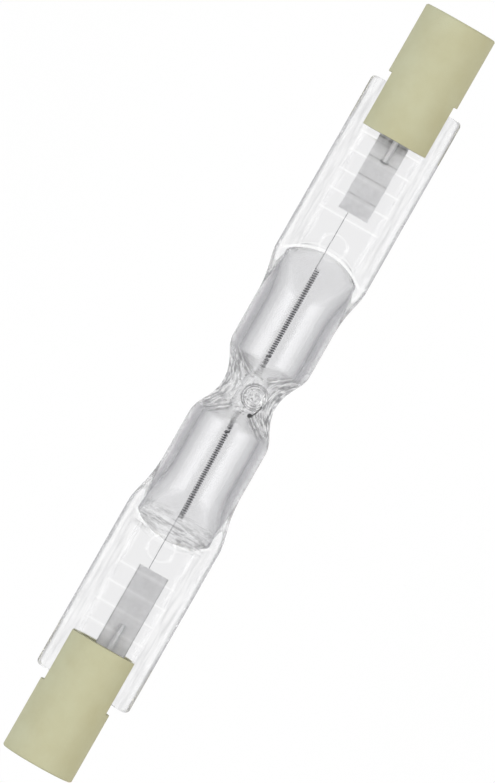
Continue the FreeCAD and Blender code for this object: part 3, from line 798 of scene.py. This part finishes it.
def filament_path(sizes):
    """Path of the wire from the left foil to the right foil, and a direction across it.

    The wire lies at (x, axis + r cos(angle), r sin(angle)). Along a coil the angle grows by a
    full turn for each pitch and r is the coil's mean radius. Most of each pitch is gained below
    the axis, because x runs ahead of the angle by a share of (cos(angle) - 1). Between the coils
    r falls to nothing, and along a leg the angle stands still.
    """
    foot_left = -19.3
    foot_right = 19.72
    points_per_turn = 18
    radius = (sizes.coil_diameter - sizes.wire_diameter) / 2 / MM
    turns = round((COIL_END - COIL_START) / (sizes.coil_pitch / MM))
    wound = np.arange(turns * points_per_turn + 1) / points_per_turn
    ahead = wound + 0.1 * (np.cos(wound * 2 * math.pi) - 1)
    along = ahead / turns * (COIL_END - COIL_START)
    bridge = np.linspace(0, 1, 40)[1:-1]
    leg = np.linspace(0, 1, 30)
    leg_left = foot_left + leg[:-1] * (-COIL_END - foot_left)
    leg_right = COIL_END + leg[1:] * (foot_right - COIL_END)
    x = np.concatenate([
        leg_left, -COIL_END + along, -COIL_START + bridge * (2 * COIL_START), COIL_START + along,
        leg_right,
    ])
    turn = np.concatenate([
        np.zeros(len(leg_left)), wound, turns + bridge, turns + 1 + wound,
        np.full(len(leg_right), 2.0 * turns + 1),
    ]) * 2 * math.pi
    shrink = 1 - smooth_step(np.minimum(bridge, 1 - bridge), 0.0, 0.16)
    reach = radius * np.concatenate([
        np.ones(len(leg_left) + len(along)), shrink, np.ones(len(along) + len(leg_right)),
    ])
    axis = np.interp(x, [-COIL_END, -COIL_START, COIL_START, COIL_END], [-0.12, 0.09, 0.19, 0.19])
    sink_start = COIL_END + 0.5
    level = -0.08 * (smooth_step(x, sink_start, 19.0) + smooth_step(-x, sink_start, 18.3))
    across = np.stack([np.zeros_like(x), np.cos(turn), np.sin(turn)], 1)
    path = np.stack([x, axis, level], 1) + across * reach[:, None]
    taper = smooth_step(np.abs(x), COIL_END + 0.05, COIL_END + 0.4)
    thick = sizes.wire_diameter + (sizes.leg_diameter - sizes.wire_diameter) * taper
    return path, across, thick / 2 / MM


def round_wire(path, across, radius, sides):
    """A circle carried along a path: centre + radius (cos(a) n + sin(a) b)."""
    along = np.gradient(path, axis=0)
    along /= np.linalg.norm(along, axis=1, keepdims=True)
    n = across - (across * along).sum(1, keepdims=True) * along
    n /= np.linalg.norm(n, axis=1, keepdims=True)
    b = np.cross(along, n)
    a = np.arange(sides) / sides * 2 * math.pi
    ring = np.cos(a)[None, :, None] * n[:, None] + np.sin(a)[None, :, None] * b[:, None]
    points = path[:, None] + radius[:, None, None] * ring
    first = np.arange(sides)
    last = first + (len(path) - 1) * sides
    faces = ring_faces(len(path), sides)[:, ::-1].tolist()
    return points.reshape(-1, 3), faces + [first.tolist(), last[::-1].tolist()]


def build_filament(sizes):
    """The coiled wire with both legs."""
    path, across, radius = filament_path(sizes)
    points, faces = round_wire(path, across, radius, 8)
    finish = Finish("tungsten")
    spot = finish.coordinates()
    grain = finish.noise(spot, 0.05, 3.0)
    # Painted shade and light: the coils' upper side is dark and their lower side light, a shaded and
    # a lit copy of the metal, so that the turns show as stripes; the legs take a tone halfway
    # between
    above = finish.spread(finish.part(spot, "Z") + grain * 0.04, -0.06, 0.06)
    away = finish.size(spot, "X")
    legs = finish.spread(away, COIL_END, COIL_END + 0.2)
    coils = finish.spread(away, COIL_END + 0.2, COIL_END)
    coils = coils * finish.spread(away, COIL_START - 0.2, COIL_START)
    shade = finish.blend(above * coils + legs * 0.5, sizes.tungsten_painted_lit, sizes.tungsten)
    material = finish.surface({
        "Base Color": shade, "Metallic": 0.85, "Roughness": grain * 0.2 + 0.3,
        "Normal": finish.bump(grain, 0.004),
    })
    return make_piece("filament_wire", points, faces, material, "tungsten", "filament")


def metal(name, shade, metallic, roughness, grain_size, marks=None):
    """Rolled or drawn metal with a mottled tone, a fine grain and, if given, darker marks, painted
    shade among them.
    """
    finish = Finish(name)
    cloud = finish.noise(finish.coordinates(), 0.7, 4.0, 0.6)
    rolled = finish.noise(finish.coordinates((1.0, 0.12, 1.0)), 0.55, 3.0, 0.6)
    grain = finish.noise(finish.coordinates((0.2, 1.0, 1.0)), grain_size, 3.0)
    patch = finish.spread(cloud, 0.35, 0.65) * 0.7 + finish.spread(rolled, 0.3, 0.62) * 0.3
    base = finish.blend(patch, darker(shade, 0.85), shade)
    if marks:
        base = finish.blend(marks(finish, cloud), base, darker(shade, 0.35))
    return finish.surface({
        "Base Color": base, "Metallic": metallic, "Roughness": grain * 0.2 + roughness,
        "Normal": finish.bump(grain, 0.01),
    })


def foil_marks_and_painted_rib_lines(finish, cloud):
    """Painted rib shadows as dark lines, a stain and a weld on the right foil; on the left, painted
    shade all over but for pale lines under the ribs, and dark sides.
    """
    line_pitch = 1.96
    spot = finish.coordinates()
    x = finish.part(spot, "X")
    y = finish.part(spot, "Y")
    right = finish.above_zero(x)
    # Painted shadows of the ribs: dark lines across the right foil
    lines = finish.band(finish.off_row(x - 18.62, line_pitch), 0.14)
    lines = lines * finish.spread(cloud, 0.3, 0.55) * 0.6
    stain = finish.spread(x, 25.6, 26.2) * (0.3 + finish.spread(cloud, 0.4, 0.6) * 0.4)
    weld = finish.spread(finish.distance((x - 24.5) * 1.5, y + 0.22), 0.5, 0.25)
    sides = finish.spread(finish.size_of(y + 0.51), 1.36, 1.46) * 0.45
    # Painted shade on the left foil, left out along pale lines under the ribs
    plain = 0.12 - finish.band(finish.off_row(x + 19.15, line_pitch), 0.12) * 0.12
    return (lines + stain + weld) * right + (sides + plain) * (1 - right)


def build_metal(looks):
    """Foils, leads and contacts."""
    foil = metal("foil", looks.foil, 0.1, 0.45, 0.08, foil_marks_and_painted_rib_lines)
    lead = metal("lead_wire", looks.lead, 0.2, 0.35, 0.06)
    button = metal("contact_metal", looks.contact, 0.9, 0.25, 0.05)
    for end in ENDS:
        dressed("foil_" + end, "foil_strip_" + end, foil, "foil", 20)
        dressed("outer_lead_" + end, "lead_wire_" + end, lead, "lead_wire", 40)
        dressed("contact_" + end, "contact_button_" + end, button, "contact_metal", 40, 0.06)


def ceramic(looks):
    """Matt steatite: soft patches, fine specks, a side that is browner and darker, partly painted
    shade, and a sandy skin.
    """
    finish = Finish("cap_ceramic")
    spot = finish.coordinates()
    cloud = finish.noise(spot, 3.2, 3.0, 0.55)
    specks = finish.noise(spot, 0.12, 2.0)
    grain = finish.noise(spot, 0.25, 5.0, 0.65)
    base = finish.blend(finish.spread(cloud, 0.35, 0.8) * 0.7, looks.ceramic, looks.ceramic_dark)
    # Partly the ceramic's own browner tone, partly painted shade: the caps grow browner and darker
    # towards -Y
    brown_and_shaded_side = finish.spread(finish.part(spot, "Y") - cloud * 3.0, 1.6, -6.4) * 0.55
    base = finish.blend(brown_and_shaded_side, base, looks.ceramic_brown_and_shade)
    base = finish.blend(finish.spread(specks, 0.66, 0.8) * 0.25, base, looks.ceramic_dark)
    return finish.surface({
        "Base Color": base, "Roughness": grain * 0.2 + 0.5, "Specular IOR Level": 0.35,
        "Normal": finish.bump(grain, 0.03),
    })


def cement(looks):
    """Dull, grainy cement."""
    finish = Finish("cement")
    grain = finish.noise(finish.coordinates(), 0.2, 6.0, 0.7)
    base = finish.blend(finish.spread(grain, 0.35, 0.65), darker(looks.cement, 0.8), looks.cement)
    return finish.surface({
        "Base Color": base, "Roughness": 0.9, "Normal": finish.bump(grain, 0.08),
    })


def build_caps(looks):
    """Ceramic caps and the cement in their slots."""
    body = ceramic(looks)
    filling = cement(looks)
    for end in ENDS:
        dressed("ceramic_cap_" + end, "cap_" + end, body, "cap_ceramic", 30, 0.04)
        dressed("cement_" + end, "cement_filling_" + end, filling, "cement", 30)


def floor_paint():
    """Plain white with a faint shadow. Seen through the glass it dims to both sides."""
    finish = Finish("floor")
    away = finish.size(finish.coordinates(), "Y")
    dim = finish.spread(away, 12.0, 34.0) * 0.85 + finish.spread(away, 34.0, 60.0) * 0.15
    direct = finish.add("LightPath", {}, {}, "Is Camera Ray")
    rays = direct.socket.node.outputs
    bent = finish.larger(direct, Value(finish, rays["Is Transmission Ray"]))
    seen = finish.larger(bent, Value(finish, rays["Is Glossy Ray"]))
    plain = finish.add("BsdfDiffuse", {}, {"Color": (0.9, 0.9, 0.9, 1.0)})
    white = finish.add("Emission", {}, {"Color": WHITE, "Strength": 1.005})
    grey = finish.add("Emission", {}, {"Color": (0.4, 0.4, 0.42, 1.0)})
    glow = finish.add("MixShader", {}, {0: dim * (1 - direct), 1: white, 2: grey})
    both = finish.add("MixShader", {}, {0: seen * 0.95, 1: plain, 2: glow})
    finish.add("OutputMaterial", {}, {"Surface": both})
    return finish.material


def build_floor(stage):
    """A flat floor below the bulb."""
    side = 1.2
    low = min(corner[2] for corner in CAD_BOX) - stage.drop
    corners = [(-side, -side, low), (side, -side, low), (side, side, low), (-side, side, low)]
    mesh = bpy.data.meshes.new("floor")
    mesh.from_pydata(corners, [], [(0, 1, 2, 3)])
    mesh.materials.append(floor_paint())
    floor = add_object("floor", mesh)


def build_light(stage):
    """Even light from all round, and on each side a brighter band of sky with a soft box in it."""
    world = bpy.data.worlds.new("studio")
    bpy.context.scene.world = world
    sky = Finish("studio", world)
    # The bands lean 41 degrees from straight above and fade along the bulb and downwards
    way = sky.add("TexCoord", {}, {}, "Generated")
    band = sky.spread(sky.size_of(sky.size(way, "Y") - 0.66), 0.42, 0.08)
    band = band * sky.spread(sky.size(way, "X"), 0.75, 0.3)
    band = band * sky.spread(sky.part(way, "Z"), 0.1, 0.4)
    plain = sky.add("Background", {}, {"Color": WHITE, "Strength": stage.daylight})
    bright = sky.add("Background", {}, {"Color": WHITE, "Strength": 1.05})
    both = sky.add("MixShader", {}, {0: band, 1: plain, 2: bright})
    sky.add("OutputWorld", {}, {"Surface": both})
    for side in (-1, 1):
        lamp = bpy.data.lights.new("soft_box", "AREA")
        lamp.shape = "RECTANGLE"
        lamp.size = stage.softbox_length
        lamp.size_y = stage.softbox_width
        lamp.energy = stage.softbox
        holder = add_object("soft_box", lamp)
        turn = Matrix.Rotation(stage.softbox_lean * side, 4, "X")
        holder.matrix_world = turn @ Matrix.Translation((0.0, 0.0, stage.softbox_distance))


def build_camera(stage):
    """The photograph's view: almost square to the seals, the bulb leaning to the right."""
    data = bpy.data.cameras.new("camera")
    data.lens = data.sensor_width * stage.distance / stage.field
    data.clip_start = stage.distance * 0.05
    data.clip_end = stage.distance * 20
    data.dof.use_dof = False
    camera = add_object("camera", data)
    bpy.context.scene.camera = camera
    roll = Matrix.Rotation(-(math.pi / 2 - stage.lean), 4, "Z")
    tilt = Matrix.Rotation(stage.tilt, 4, "Y")
    away = Matrix.Translation((stage.slide_right, stage.slide_up, stage.distance))
    camera.matrix_world = tilt @ roll @ away


# Operators

class BULB_OT_glass(bpy.types.Operator):
    """Build the quartz envelope"""
    bl_idname = "bulb.glass"
    bl_label = "Glass"

    def execute(self, context):
        build_glass(context.scene.bulb_glass)
        return {"FINISHED"}


class BULB_OT_filament(bpy.types.Operator):
    """Build the coiled filament"""
    bl_idname = "bulb.filament"
    bl_label = "Filament"

    def execute(self, context):
        build_filament(context.scene.bulb_filament)
        return {"FINISHED"}


class BULB_OT_metal(bpy.types.Operator):
    """Dress the foils, leads and contacts"""
    bl_idname = "bulb.metal"
    bl_label = "Foils, leads and contacts"

    def execute(self, context):
        build_metal(context.scene.bulb_metal)
        return {"FINISHED"}


class BULB_OT_caps(bpy.types.Operator):
    """Dress the ceramic caps and the cement"""
    bl_idname = "bulb.caps"
    bl_label = "Caps and cement"

    def execute(self, context):
        build_caps(context.scene.bulb_caps)
        return {"FINISHED"}


class BULB_OT_stage(bpy.types.Operator):
    """Build the floor, the light and the camera"""
    bl_idname = "bulb.stage"
    bl_label = "Stage"

    def execute(self, context):
        stage = context.scene.bulb_stage
        build_floor(stage)
        build_light(stage)
        build_camera(stage)
        context.scene.view_settings.view_transform = "Standard"
        return {"FINISHED"}


class BULB_PT_sidebar(bpy.types.Panel):
    """Lists the pieces and their settings"""
    bl_label = "Linear Halogen Bulb"
    bl_idname = "BULB_PT_sidebar"
    bl_space_type = "VIEW_3D"
    bl_region_type = "UI"
    bl_category = "Bulb"

    def draw(self, context):
        for name, (group, operator) in PIECES.items():
            box = self.layout.box()
            box.operator(operator.bl_idname)
            for field in group.__annotations__:
                box.prop(getattr(context.scene, name), field)


PIECES = {
    "bulb_glass": (GlassSizes, BULB_OT_glass),
    "bulb_filament": (FilamentSizes, BULB_OT_filament),
    "bulb_metal": (MetalLooks, BULB_OT_metal),
    "bulb_caps": (CapLooks, BULB_OT_caps),
    "bulb_stage": (StageSettings, BULB_OT_stage),
}
CLASSES = [item for pair in PIECES.values() for item in pair] + [BULB_PT_sidebar]


def register():
    for item in CLASSES:
        bpy.utils.register_class(item)
    for name, (group, _) in PIECES.items():
        setattr(bpy.types.Scene, name, bpy.props.PointerProperty(type=group))


def unregister():
    for name in PIECES:
        delattr(bpy.types.Scene, name)
    for item in reversed(CLASSES):
        bpy.utils.unregister_class(item)


def main():
    """Build every piece."""
    register()
    bpy.ops.bulb.glass()
    bpy.ops.bulb.filament()
    bpy.ops.bulb.metal()
    bpy.ops.bulb.caps()
    bpy.ops.bulb.stage()


if __name__ == "__main__":
    main()
